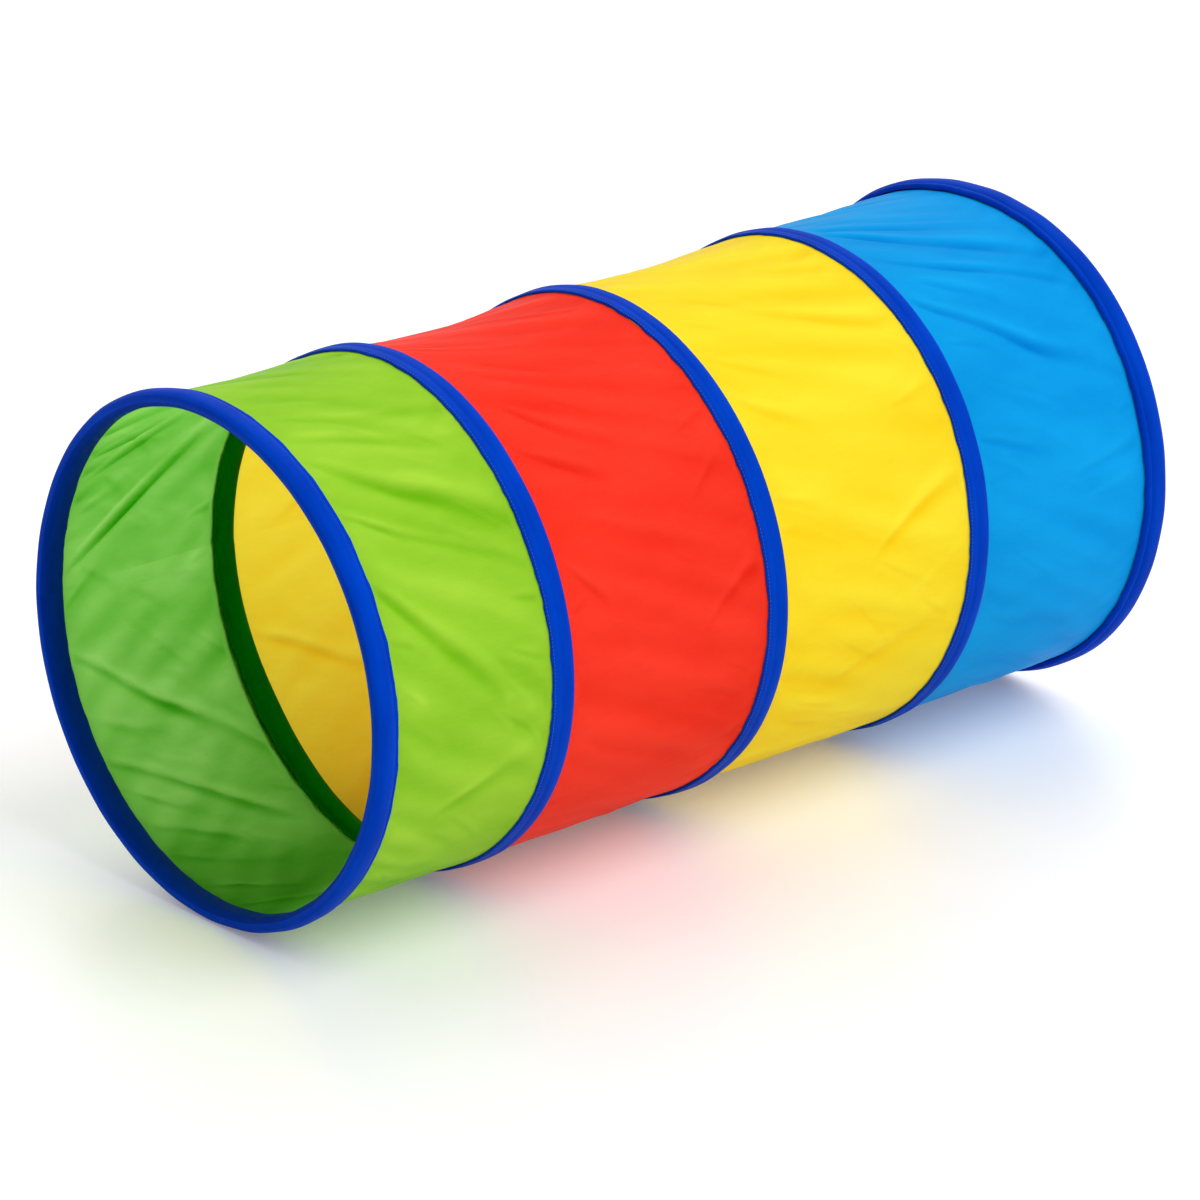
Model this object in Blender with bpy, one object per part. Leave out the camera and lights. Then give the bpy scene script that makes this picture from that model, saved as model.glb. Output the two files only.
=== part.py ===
"""A kids play tunnel: four cloth bays on five wire hoops, which close up like a concertina.

X runs along the tunnel, from the front ring to the rear ring, and Z is up. The origin is on the
floor, under the middle of the tunnel. Every ring is a polygon with as many sides as the others
and stands on one of them, so the layers of a sleeve keep an even gap all round.
"""

from collections import namedtuple
from math import cos, exp, pi, radians, remainder, sin

import bmesh
import bpy
from mathutils import Matrix, Vector

# Overall sizes, in metres
end_ring_diameter = 0.4755
middle_ring_step = 0.00125
green_bay_length = 0.1718
red_bay_length = 0.2234
yellow_bay_length = 0.2249
blue_bay_length = 0.2006

# Cloth and tape
cloth_thickness = 0.0005
tape_thickness = 0.0008
fit_gap = 0.0003
tuck_depth = 0.005

# Casing and facing of the three rings between the bays
casing_width = 0.0225
casing_arch = 0.0030
facing_width = 0.0212
facing_bulge = 0.0060

# Binding of the two end rings: a roll of this height over a hem that holds the cloth's edge
binding_width = 0.0240
roll_height = 0.0135
hem_depth = 0.0062
hoop_inset = 0.0072

# Hoop and its ferrule
wire_diameter = 0.0030
hoop_end_gap = 0.0010
ferrule_wall = 0.00035
ferrule_length = 0.018
hoop_joint_angle = radians(-30)

# Shape of the taut cloth: how far each bay is drawn in at its middle, and its folds
green_waist = 0.0024
red_waist = 0.0070
yellow_waist = 0.0050
blue_waist = 0.0014
fold_depth = 0.0065
fold_spread = radians(6.5)
fold_fade = 0.7

# Counts
ring_sides = 48
bay_rows = 7
wire_sides = 5
ferrule_sides = 8

# Points of the casing's arch and of the facing, as shares of half the width and of the height
arch_shares = ((-1, 0), (-0.58, 0.80), (-0.22, 1), (0.22, 1), (0.58, 0.80), (1, 0))
facing_shares = ((-1, 0), (-0.50, 1), (0.50, 1), (1, 0))

# Points round the binding's roll, as shares of the binding's width and of the roll's height
roll_shares = (
    (0.78, 0.30), (0.50, 0), (0.20, 0), (0, 0.32),
    (0, 0.68), (0.20, 1), (0.78, 0.92),
)

# Main folds of each bay, as (share of the length, angle) at both ends, then a depth share.
# An angle is in degrees, from the side at +Y over the top to the side at -Y.
fold_shares = {
    "green_panel": (
        (0.00, 146, 0.75, 178, 1.0), (0.00, 115, 1.00, 142, 1.0), (0.00, 131, 1.00, 153, 0.6),
        (0.00, 105, 1.00, 123, 0.6), (0.00, 3, 0.80, 37, 1.0), (0.05, 26, 0.50, 42, 0.7),
        (0.00, -16, 1.00, -49, 0.9), (0.00, -40, 0.85, -67, 0.9), (0.30, 205, 1.00, 192, 0.5),
    ),
    "red_panel": (
        (0.05, 127, 0.42, 140, 0.8), (0.12, 117, 0.52, 132, 0.9), (0.68, 178, 1.00, 166, 0.8),
        (0.08, 104, 0.80, 119, 0.6), (0.74, 152, 0.95, 142, 0.6), (0.00, 153, 0.30, 164, 0.5),
        (0.10, 24, 0.90, 52, 0.8), (0.00, -22, 0.80, -46, 0.8), (0.20, 2, 0.90, 20, 0.6),
    ),
    "yellow_panel": (
        (0.45, 176, 1.00, 161, 1.0), (0.38, 111, 1.00, 124, 0.8), (0.00, 131, 0.38, 142, 0.6),
        (0.00, 120, 0.38, 129, 0.6), (0.70, 144, 1.00, 139, 0.6), (0.00, 156, 0.25, 159, 0.5),
        (0.05, 34, 0.95, 66, 0.8), (0.00, -12, 0.85, -38, 0.8), (0.15, 8, 0.85, 26, 0.6),
    ),
    "blue_panel": (
        (0.00, 118, 0.88, 146, 1.0), (0.05, 107, 0.98, 128, 0.9), (0.02, 90, 0.95, 117, 1.0),
        (0.18, 116, 0.52, 127, 0.5), (0.55, 173, 1.00, 165, 0.8), (0.00, 156, 0.50, 164, 0.6),
        (0.05, 18, 0.90, 48, 0.8), (0.00, -20, 1.00, -50, 0.8), (0.10, 62, 0.80, 76, 0.6),
    ),
}

# Finishes: colour, roughness and metallic value
Finish = namedtuple("Finish", "colour roughness metallic")
blue_tape = Finish((0.006, 0.045, 0.48, 1), 0.55, 0)
dark_green_strip = Finish((0.008, 0.105, 0.012, 1), 0.45, 0)
ochre_strip = Finish((0.50, 0.29, 0.012, 1), 0.45, 0)
green_cloth = Finish((0.40, 0.72, 0.07, 1), 0.42, 0)
red_cloth = Finish((0.97, 0.055, 0.035, 1), 0.42, 0)
yellow_cloth = Finish((0.99, 0.78, 0.03, 1), 0.42, 0)
light_blue_cloth = Finish((0.006, 0.31, 0.80, 1), 0.42, 0)
spring_steel = Finish((0.55, 0.56, 0.58, 1), 0.30, 1)
plated_steel = Finish((0.65, 0.66, 0.68, 1), 0.38, 1)

# Sizes that follow from the ones above
wire_radius = wire_diameter / 2
ferrule_bore = wire_radius + fit_gap
ferrule_radius = ferrule_bore + ferrule_wall
hoop_depth = tape_thickness + fit_gap + ferrule_radius
casing_cloth_depth = casing_arch + tape_thickness + fit_gap
binding_cloth_depth = hem_depth + tape_thickness + fit_gap
tunnel_length = (
    2 * binding_width + 3 * casing_width
    + green_bay_length + red_bay_length + yellow_bay_length + blue_bay_length
)
side_angle = 2 * pi / ring_sides
side_ratio = cos(side_angle / 2)

Bay = namedtuple("Bay", "name finish length waist start")
Ring = namedtuple("Ring", "name hoop_x radius cloth_depth")


def lay_out_bays():
    """The four bays, each with the place where its cloth comes out of the front sleeve."""
    sizes = (
        ("green_panel", green_cloth, green_bay_length, green_waist),
        ("red_panel", red_cloth, red_bay_length, red_waist),
        ("yellow_panel", yellow_cloth, yellow_bay_length, yellow_waist),
        ("blue_panel", light_blue_cloth, blue_bay_length, blue_waist),
    )
    bays = []
    start = binding_width - tunnel_length / 2
    for name, finish, length, waist in sizes:
        bays.append(Bay(name, finish, length, waist, start))
        start += length + casing_width
    return bays


def lay_out_rings(bays):
    """The five rings. A hoop lies in its casing's middle, or inset in its binding's roll."""
    end_radius = end_ring_diameter / 2
    middle_radius = end_radius - middle_ring_step
    end_hoop_x = tunnel_length / 2 - hoop_inset
    rings = [Ring("ring_1", -end_hoop_x, end_radius, binding_cloth_depth)]
    for number, bay in enumerate(bays[1:], start=2):
        hoop_x = bay.start - casing_width / 2
        rings.append(Ring(f"ring_{number}", hoop_x, middle_radius, casing_cloth_depth))
    rings.append(Ring("ring_5", end_hoop_x, end_radius, binding_cloth_depth))
    return rings


def centre_height(ring):
    """Height of a ring's axis when the ring stands on one of its sides."""
    return ring.radius * side_ratio


def clear_scene():
    for item in list(bpy.data.objects):
        bpy.data.objects.remove(item, do_unlink=True)


def make_material(name, finish):
    material = bpy.data.materials.new(name)
    material.use_nodes = True
    shader = material.node_tree.nodes["Principled BSDF"]
    shader.inputs["Base Color"].default_value = finish.colour
    shader.inputs["Roughness"].default_value = finish.roughness
    shader.inputs["Metallic"].default_value = finish.metallic
    return material


def make_object(name, mesh_builder, finish, parent):
    """Turn a bmesh into a named object on its ring's empty, round faces shaded smooth."""
    mesh = bpy.data.meshes.new(name)
    bmesh.ops.recalc_face_normals(mesh_builder, faces=mesh_builder.faces[:])
    mesh_builder.to_mesh(mesh)
    mesh_builder.free()
    mesh.shade_smooth()
    mesh.set_sharp_from_angle(angle=radians(35))
    mesh.materials.append(make_material(name, finish))
    item = bpy.data.objects.new(name, mesh)
    item.parent = parent
    bpy.context.scene.collection.objects.link(item)
    return item


def make_ring_empty(ring):
    """An empty on the tunnel's axis that carries all that moves with one ring."""
    empty = bpy.data.objects.new(ring.name, None)
    empty.empty_display_size = ring.radius
    empty.location = (ring.hoop_x, 0, centre_height(ring))
    bpy.context.scene.collection.objects.link(empty)
    return empty


def on_ring(x, radius, angle):
    """A point at an angle round the X axis, measured from +Y towards +Z."""
    return Vector((x, radius * cos(angle), radius * sin(angle)))


def thicken(line, thickness):
    """Close a line of (x, radius) points into a strip, thickened to its left side."""
    points = [Vector(point) for point in line]
    inner = []
    for index, point in enumerate(points):
        ahead = points[min(index + 1, len(points) - 1)]
        behind = points[max(index - 1, 0)]
        first = (point - behind) if index else (ahead - point)
        second = (ahead - point) if index < len(points) - 1 else first
        normal = first.normalized() + second.normalized()
        normal = Vector((-normal.y, normal.x)).normalized()
        straightness = normal.dot(Vector((-first.y, first.x)).normalized())
        inner.append(point + normal * (thickness / straightness))
    return points + inner[::-1]


def turn_profile(profile):
    """Spin a closed (x, radius) profile once round the X axis, standing on a flat side."""
    builder = bmesh.new()
    corners = [builder.verts.new(on_ring(x, radius, side_angle / 2)) for x, radius in profile]
    edges = [builder.edges.new((a, b)) for a, b in zip(corners, corners[1:] + corners[:1])]
    bmesh.ops.spin(
        builder, geom=corners + edges, cent=(0, 0, 0), axis=(1, 0, 0),
        angle=2 * pi, steps=ring_sides, use_merge=True,
    )
    return builder


def casing_profile(ring):
    """The blue tape arched over a middle hoop, from edge to edge."""
    foot = ring.radius - casing_arch
    half_width = casing_width / 2
    line = [(half_width * x, foot + casing_arch * height) for x, height in arch_shares]
    return thicken(line[::-1], tape_thickness)


def facing_profile(ring):
    """The strip inside a middle ring, which bulges a little into the tunnel."""
    top = ring.radius - ring.cloth_depth - cloth_thickness - fit_gap
    half_width = facing_width / 2
    line = [(half_width * x, top - facing_bulge * bulge) for x, bulge in facing_shares]
    return thicken(line[::-1], tape_thickness)


def binding_profile(ring):
    """The tape rolled round an end hoop, with a hem that is open towards the cloth.

    x is 0 at the hoop's plane and grows towards the bay.
    """
    lip = binding_width - hoop_inset
    upper_lip = ring.radius - hem_depth
    lower_lip = ring.radius - ring.cloth_depth - cloth_thickness - fit_gap - tape_thickness
    roll = [
        (binding_width * x - hoop_inset, ring.radius - roll_height * depth)
        for x, depth in roll_shares
    ]
    return thicken([(lip, upper_lip), *roll, (lip, lower_lip)], tape_thickness)


def make_hoop(ring):
    """A wire ring whose two ends meet in the middle of one side."""
    hoop_radius = ring.radius - hoop_depth
    first_angle = hoop_joint_angle + side_angle / 2
    builder = bmesh.new()
    corners = []
    for index in range(wire_sides):
        turn = 2 * pi * index / wire_sides
        radius = hoop_radius + wire_radius * sin(turn)
        corners.append(builder.verts.new(on_ring(wire_radius * cos(turn), radius, first_angle)))
    start = builder.faces.new(corners)
    sweep = 2 * pi - side_angle
    bmesh.ops.spin(
        builder, geom=[start], cent=(0, 0, 0), axis=(1, 0, 0),
        angle=sweep, steps=ring_sides - 1,
    )
    half_side = hoop_radius * sin(side_angle / 2)
    reach = half_side - hoop_end_gap / 2
    tangent = Vector((0, -sin(hoop_joint_angle), cos(hoop_joint_angle)))
    caps = [face for face in builder.faces if len(face.verts) == wire_sides]
    for cap in caps:
        outward = -1 if cap.calc_center_median().dot(tangent) > 0 else 1
        grown = bmesh.ops.extrude_discrete_faces(builder, faces=[cap])["faces"]
        bmesh.ops.translate(builder, verts=grown[0].verts[:], vec=tangent * reach * outward)
    return builder


def make_ferrule(ring):
    """The crimped sleeve over the hoop's two ends, in the middle of one side."""
    builder = bmesh.new()
    flat_ratio = cos(pi / ferrule_sides)
    half = ferrule_length / 2
    profile = (
        (-half, ferrule_bore / flat_ratio),
        (half, ferrule_bore / flat_ratio),
        (half, ferrule_radius),
        (-half, ferrule_radius),
    )
    corners = [builder.verts.new((along, radius, 0)) for along, radius in profile]
    edges = [builder.edges.new((a, b)) for a, b in zip(corners, corners[1:] + corners[:1])]
    bmesh.ops.spin(
        builder, geom=corners + edges, cent=(0, 0, 0), axis=(1, 0, 0),
        angle=2 * pi, steps=ferrule_sides, use_merge=True,
    )
    seat = on_ring(0, (ring.radius - hoop_depth) * side_ratio, hoop_joint_angle)
    along_wire = Matrix.Rotation(hoop_joint_angle, 4, "X") @ Matrix.Rotation(pi / 2, 4, "Y")
    bmesh.ops.transform(builder, matrix=Matrix.Translation(seat) @ along_wire, verts=builder.verts[:])
    return builder


def fold_dip(bay, share, angle):
    """How far the cloth dips inward at a share of the bay's length and an angle round it."""
    dip = 0.0
    for start, start_angle, end, end_angle, strength in fold_shares[bay.name]:
        along = (share - start) / (end - start)
        middle = radians(start_angle + (end_angle - start_angle) * along)
        fade = sin(pi * min(max(along, 0), 1)) ** fold_fade
        off = remainder(angle - middle, 2 * pi) / fold_spread
        dip += strength * fade * exp(-off * off)
    return fold_depth * min(dip, 1.0)


def bay_stations(bay, front, rear):
    """Along the cloth: (x, axis height, radius, share of the bay) from edge to edge."""
    front_radius = front.radius - front.cloth_depth
    rear_radius = rear.radius - rear.cloth_depth
    front_height = centre_height(front)
    rear_height = centre_height(rear)
    stations = [(bay.start - tuck_depth, front_height, front_radius, 0)]
    for row in range(bay_rows + 1):
        share = row / bay_rows
        drawn_in = bay.waist * 4 * share * (1 - share)
        radius = front_radius + (rear_radius - front_radius) * share - drawn_in
        height = front_height + (rear_height - front_height) * share
        stations.append((bay.start + bay.length * share, height, radius, share))
    stations.append((bay.start + bay.length + tuck_depth, rear_height, rear_radius, 0))
    return stations


def make_panel(bay, front, rear, carrier):
    """One bay's cloth: a waisted tube with slanting folds, its edges tucked into the sleeves."""
    builder = bmesh.new()
    loops = []
    for x, height, radius, share in bay_stations(bay, front, rear):
        loop = []
        for side in range(ring_sides):
            angle = side_angle * (side + 0.5)
            point = on_ring(x - carrier.hoop_x, radius - fold_dip(bay, share, angle), angle)
            point.z += height - centre_height(carrier)
            loop.append(builder.verts.new(point))
        loops.append(loop)
    for loop, following in zip(loops, loops[1:]):
        for side in range(ring_sides):
            after = (side + 1) % ring_sides
            builder.faces.new((loop[side], following[side], following[after], loop[after]))
    return builder


def add_thickness(panel):
    """Thicken a cloth surface inward, towards the tunnel's axis."""
    solidify = panel.modifiers.new("Cloth thickness", "SOLIDIFY")
    solidify.thickness = cloth_thickness
    solidify.offset = -1
    solidify.use_even_offset = True


def turn_outward(panel):
    """Make the cloth's faces look away from the axis, so that it thickens inward."""
    first = panel.data.polygons[0]
    if first.normal.y * first.center.y + first.normal.z * first.center.z < 0:
        panel.data.flip_normals()


def build_sleeves(rings, empties):
    """The blue tapes and the facings that hold the hoops."""
    strips = {"ring_2": dark_green_strip, "ring_3": ochre_strip, "ring_4": ochre_strip}
    for ring in rings[1:-1]:
        empty = empties[ring.name]
        casing = turn_profile(casing_profile(ring))
        facing = turn_profile(facing_profile(ring))
        make_object(f"{ring.name}_casing", casing, blue_tape, empty)
        make_object(f"{ring.name}_facing", facing, strips[ring.name], empty)
    for ring, name, side in ((rings[0], "front_binding", 1), (rings[-1], "rear_binding", -1)):
        profile = [(x * side, radius) for x, radius in binding_profile(ring)]
        make_object(name, turn_profile(profile), blue_tape, empties[ring.name])


def build_hoops(rings, empties):
    """The hidden wires and the sleeves that join their ends."""
    for ring in rings:
        make_object(f"{ring.name}_hoop", make_hoop(ring), spring_steel, empties[ring.name])
        make_object(f"{ring.name}_ferrule", make_ferrule(ring), plated_steel, empties[ring.name])


def build_panels(bays, rings, empties):
    """The four cloth bays. Each is carried by its ring on the side of the middle ring."""
    for index, bay in enumerate(bays):
        front, rear = rings[index], rings[index + 1]
        carrier = rear if index < len(bays) / 2 else front
        cloth = make_panel(bay, front, rear, carrier)
        panel = make_object(bay.name, cloth, bay.finish, empties[carrier.name])
        turn_outward(panel)
        add_thickness(panel)


def main():
    clear_scene()
    bays = lay_out_bays()
    rings = lay_out_rings(bays)
    empties = {ring.name: make_ring_empty(ring) for ring in rings}
    build_sleeves(rings, empties)
    build_hoops(rings, empties)
    build_panels(bays, rings, empties)


main()
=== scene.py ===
"""Looks of the kids play tunnel: four bays of thin satin cloth between five padded blue rings.

X runs from the front ring to the rear ring and Z is up. Angles round the tunnel start at the side
at +Y, go over the top and come down the side at -Y, which faces the camera.
"""

from collections import namedtuple
from math import atan2, cos, pi, radians, sin

import bpy
import numpy as np
from mathutils import Matrix, Vector


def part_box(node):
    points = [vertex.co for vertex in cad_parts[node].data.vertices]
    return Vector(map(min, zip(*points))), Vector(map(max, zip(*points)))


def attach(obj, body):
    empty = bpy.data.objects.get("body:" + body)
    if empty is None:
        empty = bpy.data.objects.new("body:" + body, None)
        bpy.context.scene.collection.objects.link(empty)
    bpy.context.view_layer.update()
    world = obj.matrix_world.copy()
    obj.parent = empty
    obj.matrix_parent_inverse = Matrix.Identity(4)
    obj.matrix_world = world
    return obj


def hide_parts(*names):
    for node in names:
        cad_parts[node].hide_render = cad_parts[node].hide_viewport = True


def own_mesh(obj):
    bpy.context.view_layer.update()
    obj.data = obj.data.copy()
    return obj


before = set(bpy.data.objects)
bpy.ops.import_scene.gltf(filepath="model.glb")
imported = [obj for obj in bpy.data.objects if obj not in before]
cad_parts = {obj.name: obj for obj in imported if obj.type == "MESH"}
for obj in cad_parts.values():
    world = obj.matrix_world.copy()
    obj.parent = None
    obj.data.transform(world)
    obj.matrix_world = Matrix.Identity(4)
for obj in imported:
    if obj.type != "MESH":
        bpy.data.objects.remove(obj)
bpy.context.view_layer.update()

Ring = namedtuple("Ring", "name body node front rear radius height")
Bay = namedtuple("Bay", "name body node slot front rear joint waist outer inner")

# Thickness of cloth and tape, how far the cloth is tucked under a tape, and the solids' ring sides
CLOTH = 0.0004
TAPE = 0.0008
TUCK = 0.005
RING_SIDES = 48

# How deep the cloth's outer face lies under the crest of a ring
MIDDLE_CLOTH_DEPTH = 0.0041
END_CLOTH_DEPTH = 0.0073

# How clear of the cloth a tape's foot lies outside, and a strip's foot inside
TAPE_CLEAR = 0.0001
STRIP_CLEAR = 0.0002

# Height of the binding's roll, and depth of the strip inside a middle ring
ROLL = 0.0135
STRIP_DEPTH = 0.0076

# Where a rim's inner side starts, as a share of the way from its outer edge to its inner edge.
# From there the binding is painted a darker blue as shade
INNER_SHARE = 0.68

# Mesh density: steps round the tunnel and along one bay, and round a tape and a wire
STEPS_ROUND = 640
STEPS_ALONG = 58
TAPE_STEPS = 384
WIRE_STEPS = 288
CURVE_STEPS = 3

# How far from a seam the cloth still lies flat: over a rim's lip, and over a strip's edge. Folds
# then come in over HELD_SOFTLY
HELD_AT_END = 0.0012
HELD_AT_RING = 0.0028
HELD_SOFTLY = 0.006

# How far from a seam swells are kept low, so that a closed bay clears the tape's edge
CLOSED_REACH = 0.024

# How much deeper the folds are than listed, the height that counts as a full dip or swell in
# the painted shade and highlight of the colour, and how many small folds each bay has
FOLD_STRENGTH = 1.25
FULL_SHADE_DIP = 0.0030
SMALL_FOLDS = 90

# Angle in degrees past which folds run up instead of down from the front
TURNED_ANGLE = 80

# Slack waves: how many, and how high one is that goes round once
SLACK_WAVES = 16
SLACK_HEIGHT = 0.0011

# Gathers at a seam: their height, and how far the broad and the narrow ones run out
GATHER_HEIGHT = 0.00075
BROAD_GATHER = 0.019
NARROW_GATHER = 0.008

# Depth of the scallops along a tape's edge, and how much its middle swells and sinks
SCALLOP = 0.0012
SWELL = 0.00018

# The slack place of a strip: angle and width in degrees, and how much deeper it hangs there
SLACK_ANGLE = 318
SLACK_WIDTH = 32
SLACK_SHARE = 0.60

# Stitches: spacing, share of it that a stitch takes each way, and half thickness. They run at
# shares of a tape's half width and rise, and of a rim's width and roll
STITCH_PITCH = 0.0034
STITCH_SHARE = 0.36
STITCH_SIZE = 0.00024
STITCHES_ON_TAPE = (0.82, 0.67)
STITCHES_ON_RIM = (0.79, 0.172)

# How far a hoop's wire lies under the crest of its ring, and the wire's thickness
HOOP_DEPTH = 0.0035
WIRE = 0.0030
WIRE_SIDES = 10

# The sleeve on a hoop's joint: its bore and outside beyond the wire, and its crimps
FERRULE_LENGTH = 0.018
FERRULE_BORE = 0.0002
FERRULE_OUTSIDE = 0.00065
CRIMPS = (-0.0055, 0, 0.0055)
CRIMP_WIDTH = 0.0008
CRIMP_DEPTH = 0.00025
FERRULE_STEPS = 37
FERRULE_SIDES = 16

# Light hoops are never quite round: angle in degrees and how far the ring stands out there, in mm
BENDS = {
    "ring_1": (
        (-30, -1), (-6, -1.4), (12, -2.6), (26, -2.6), (42, 0), (60, 1.4), (82, 1.2), (115, 0),
        (270, 0),
    ),
    "ring_2": (
        (35, 0), (60, -2.8), (76, 0), (90, 2.5), (112, 2.5), (135, -0.5), (160, -1.3), (180, 0.1),
        (200, 0.8), (225, -1.4), (240, -2.6), (258, -1.2), (276, 0), (298, -3.2), (318, -5.2),
        (338, -3.6), (360, -0.5),
    ),
    "ring_3": (
        (35, 0), (58, -2.8), (76, 0), (90, 1.0), (135, 0), (160, 1.1), (180, 2.2), (200, 1.1),
        (225, -2.8), (240, -4.0), (258, -2.0), (274, 0),
    ),
    "ring_4": (
        (35, 0), (57, -2.0), (76, 0.5), (90, 1.6), (110, 3.2), (135, 3.2), (160, 1.2), (180, -0.9),
        (200, -2.9), (225, -4.2), (240, -3.8), (258, -1.8), (274, 0),
    ),
    "ring_5": (
        (10, 0), (26, 6.5), (42, 8.6), (56, 6.0), (68, 0.2), (80, -3.6), (96, -4.4), (112, -2.7),
        (128, -0.6), (150, -0.8), (172, 0), (184, 0.9), (200, 0.3), (225, -0.2), (243, -3.8),
        (258, -3.2), (274, 0),
    ),
}
BEND_SOFTNESS = radians(6)
BEND_STEPS = 720

# Folds that show: place along the bay and angle at both ends, depth and half width in mm, bow in
# degrees. A fold dips on its lower side and swells on its upper side. A negative depth swells.
FOLDS = {
    "green_cloth": (
        (-0.02, 146, 0.70, 176, 1.9, 10.5, 2), (-0.02, 131, 0.98, 153, 1.1, 5, 0),
        (-0.02, 115.5, 0.96, 141, 1.7, 9.5, 1), (-0.02, 108, 1.02, 122, 1.2, 7, 1),
        (-0.02, 101, 1.02, 113, 0.8, 6, 1), (0.08, 95, 0.48, 102, -0.6, 4, 0),
        (-0.03, 160, 0.17, 163, 1.0, 4, 0), (0.00, 168, 0.22, 176, -0.9, 4, 0),
        (0.76, 170, 1.03, 175, 1.0, 4, 0), (0.80, 158, 1.03, 161, 0.9, 4, 0),
        (0.30, 205, 1.02, 192, 1.2, 9, 0), (0.00, 215, 0.60, 226, 1.0, 9, 0),
        (-0.02, 3, 0.78, 36, 2.6, 7, -3), (0.00, 25, 0.55, 45, 1.5, 6, 0),
        (0.02, 34, 0.42, 45, 1.4, 5, 0), (0.02, 18, 0.31, 23, 0.7, 5, 0),
        (-0.02, -7, 0.22, 3, 0.9, 4, 0), (-0.02, -15, 1.02, -49, 2.2, 7, 1),
        (0.00, -30, 0.32, -38, 0.8, 5, 0), (-0.02, -39, 0.88, -67, 2.0, 7, 1),
        (0.00, -57, 0.52, -70, 1.2, 6, 0), (0.02, -68, 0.62, -79, 0.7, 6, 0),
        (0.82, 8, 1.03, 10, 0.9, 4, 0), (0.84, -2, 1.03, 0, 0.8, 4, 0),
        (0.78, -18, 0.99, -26, 0.8, 4, 0), (0.00, -47, 0.42, -58, 1.0, 5, 0),
        (-0.02, -79, 0.46, -89, 1.3, 5, 0), (-0.02, -91, 0.55, -99, 1.3, 6, 0),
    ),
    "red_cloth": (
        (0.03, 127, 0.42, 139.5, 1.6, 6, 1), (0.12, 116.5, 0.53, 132, 1.9, 7, 1),
        (-0.03, 166, 0.12, 164, 0.9, 4, 0), (-0.02, 153, 0.24, 166, 1.2, 5, 0),
        (0.08, 104, 0.80, 119, 0.9, 10, 1), (0.02, 89, 0.60, 99, -0.8, 5, 1),
        (0.52, 78, 1.02, 94, -0.8, 5, 1), (0.70, 177, 1.02, 166, 1.9, 7, -1),
        (0.74, 151, 0.93, 142.5, 1.0, 4, 0), (0.76, 136, 1.02, 131, 0.9, 4, 0),
        (0.84, 124, 1.02, 126, 0.7, 4, 0), (0.10, 196, 0.85, 214, 1.0, 10, 0),
        (0.35, 150, 0.72, 158, 0.6, 9, 0), (-0.02, 24, 0.90, 52, 2.0, 8, 1),
        (-0.02, -22, 0.84, -46, 2.0, 8, 1), (0.18, 2, 0.92, 20, 1.2, 8, 0),
    ),
    "yellow_cloth": (
        (0.46, 175.5, 1.03, 160.5, 2.2, 8, -1), (0.66, 187, 1.02, 174, -1.0, 5, 0),
        (0.73, 143, 1.03, 139, 1.3, 5, 0), (-0.03, 162, 0.12, 162, 0.8, 4, 0),
        (-0.02, 155, 0.25, 158.5, 0.9, 4, 0), (0.00, 131, 0.37, 141.5, 0.9, 6, 0),
        (0.00, 120, 0.38, 128.5, 0.9, 6, 0), (0.42, 111, 1.03, 123.5, 1.5, 7, 1),
        (0.58, 85, 0.93, 95, -0.8, 5, 0), (0.05, 97, 0.55, 105, 0.6, 8, 0),
        (0.30, 205, 0.95, 190, 1.1, 10, 0), (0.02, 34, 0.98, 66, 2.0, 8, 1),
        (-0.02, -12, 0.88, -38, 2.0, 8, 1), (0.12, 8, 0.88, 26, 1.2, 8, 0),
    ),
    "blue_cloth": (
        (-0.02, 118, 0.86, 145.5, 2.4, 7, 3), (0.15, 115.5, 0.52, 126.5, 1.3, 6, 0),
        (0.08, 107, 0.96, 126.5, 1.8, 5, 0), (0.00, 90, 0.96, 117, 2.4, 8, 1),
        (0.04, 86.5, 0.88, 104, 1.3, 7, 0), (0.28, 88, 0.82, 102, -0.6, 4, 0),
        (-0.03, 165, 0.16, 165, 0.9, 4, 0), (-0.02, 156, 0.49, 163.5, 1.2, 5, 0),
        (0.02, 134, 0.32, 136, 0.7, 4, 0), (0.56, 171.5, 0.99, 166, 1.5, 5, 0),
        (0.60, 178, 0.98, 172, -0.7, 5, 0), (0.88, 160, 1.03, 158, 0.8, 4, 0),
        (0.90, 166, 1.03, 165, 0.8, 4, 0), (0.10, 200, 0.80, 212, 1.0, 10, 0),
        (0.02, 18, 0.92, 48, 2.0, 8, 1), (-0.02, -20, 1.02, -50, 2.0, 8, 1),
        (0.08, 62, 0.82, 76, 1.4, 8, 0),
    ),
}


def srgb(red, green, blue):
    """A display colour from 0 to 255 as linear light."""
    parts = [value / 255 for value in (red, green, blue)]
    return (*((p / 12.92 if p < 0.04 else ((p + 0.055) / 1.055) ** 2.4) for p in parts), 1.0)


def read_ring(name, body, node):
    """A ring's place and size, from its CAD node."""
    low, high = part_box(node)
    apothem = (high.z - low.z) / 2
    radius = apothem / cos(pi / RING_SIDES)
    return Ring(name, body, node, low.x, high.x, radius, low.z + apothem)


RINGS = [
    read_ring("ring_1", "ring_1", "front_binding"),
    read_ring("ring_2", "ring_2", "ring_2_casing"),
    read_ring("ring_3", "ring_3", "ring_3_casing"),
    read_ring("ring_4", "ring_4", "ring_4_casing"),
    read_ring("ring_5", "ring_5", "rear_binding"),
]


def bend(ring, angle):
    """How far a ring stands out from its circle at an angle round it, in metres."""
    fine = np.arange(BEND_STEPS) * 360 / BEND_STEPS
    places, values = zip(*BENDS[ring.name])
    values = np.interp(fine, places, values, period=360) / 1000
    softer = np.exp(-((np.arange(BEND_STEPS // 2 + 1) * BEND_SOFTNESS) ** 2) / 2)
    soft = np.fft.irfft(np.fft.rfft(values) * softer, BEND_STEPS)
    return np.interp(np.degrees(angle), fine, soft, period=360)


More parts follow.
